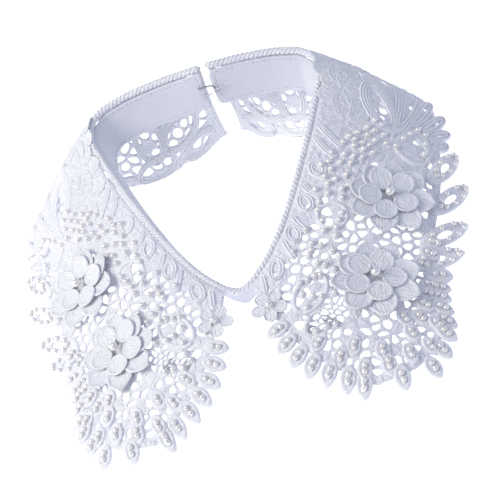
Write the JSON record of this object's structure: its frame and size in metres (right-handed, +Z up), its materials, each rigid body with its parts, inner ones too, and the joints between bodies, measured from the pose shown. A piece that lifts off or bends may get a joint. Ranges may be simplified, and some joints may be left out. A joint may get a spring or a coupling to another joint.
{
  "type": "detachable lace collar",
  "caption": "Pierced guipure lace collar with a stitched neckband, leaf hems, layered petal flowers and pearls, closed at the back by a hook and eye.",
  "frame": {"origin": "middle of the footprint on the table", "axes": "+Z up, the front points of the collar face -Y, the closure is at +Y"},
  "size_m": [0.2568, 0.2208, 0.067],
  "materials": {
    "lace": "matt cotton guipure",
    "band": "matt plain weave",
    "petal": "satin stitch, soft sheen",
    "pearl": "pearl lacquer",
    "wire": "bright wire"
  },
  "bodies": {
    "root": {"neckband": "band", "neck_cord": "lace", "lace_fall_left": "lace", "lace_fall_right": "lace", "lower_petals_1": "petal", "upper_petals_1": "petal", "flower_pearl_1": "pearl", "lower_petals_2": "petal", "upper_petals_2": "petal", "flower_pearl_2": "pearl", "lower_petals_3": "petal", "upper_petals_3": "petal", "flower_pearl_3": "pearl", "lower_petals_4": "petal", "upper_petals_4": "petal", "flower_pearl_4": "pearl", "corner_petals_left": "petal", "corner_pearl_left": "pearl", "corner_petals_right": "petal", "corner_pearl_right": "pearl", "closure_eye": "wire", "closure_hook": "wire"}
  },
  "joints": []
}
